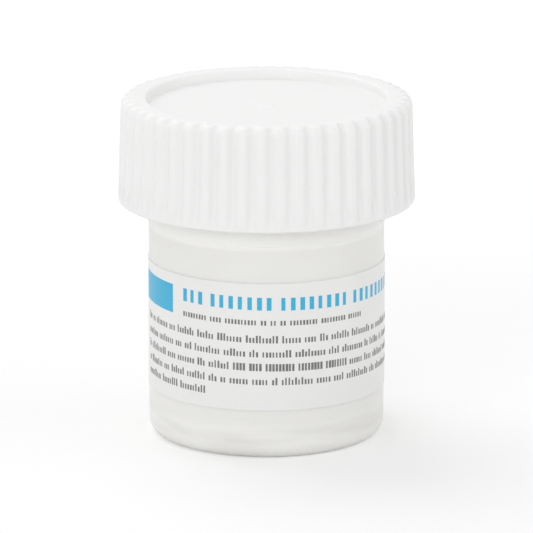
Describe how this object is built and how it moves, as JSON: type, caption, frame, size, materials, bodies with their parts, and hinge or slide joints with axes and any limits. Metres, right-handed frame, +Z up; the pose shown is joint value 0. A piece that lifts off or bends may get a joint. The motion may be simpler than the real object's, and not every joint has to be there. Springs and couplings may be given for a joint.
{
  "type": "specimen container",
  "caption": "Small translucent round specimen jar with a ribbed white screw cap, foam liner, wrap-round label and fixative liquid inside.",
  "frame": {"origin": "centre of the standing ring, on the surface that the jar stands on", "axes": "+Z up along the jar's axis, -Y to the front, where the label's print faces"},
  "size_m": [0.0378, 0.0378, 0.0437],
  "materials": {
    "jar": "satin",
    "formalin": "gloss",
    "label": "satin",
    "cap_liner": "matte",
    "cap": "satin"
  },
  "bodies": {
    "container": {"jar": "jar", "label": "label", "formalin": "formalin"},
    "liner": {"cap_liner": "cap_liner"},
    "screw_cap": {"cap": "cap"}
  },
  "joints": [
    {"name": "cap_lift", "type": "slide", "parent": "container", "child": "liner", "axis": [0, 0, 1], "range_m": [0, 0.01693]},
    {"name": "cap_turn", "type": "hinge", "parent": "liner", "child": "screw_cap", "pos_m": [0, 0, 0.035], "axis": [0, 0, 1], "range_deg": [0, 1440]}
  ],
  "couplings": [
    {"joint": "cap_lift", "follows": "cap_turn", "m_per_rad": 0.0006737}
  ]
}
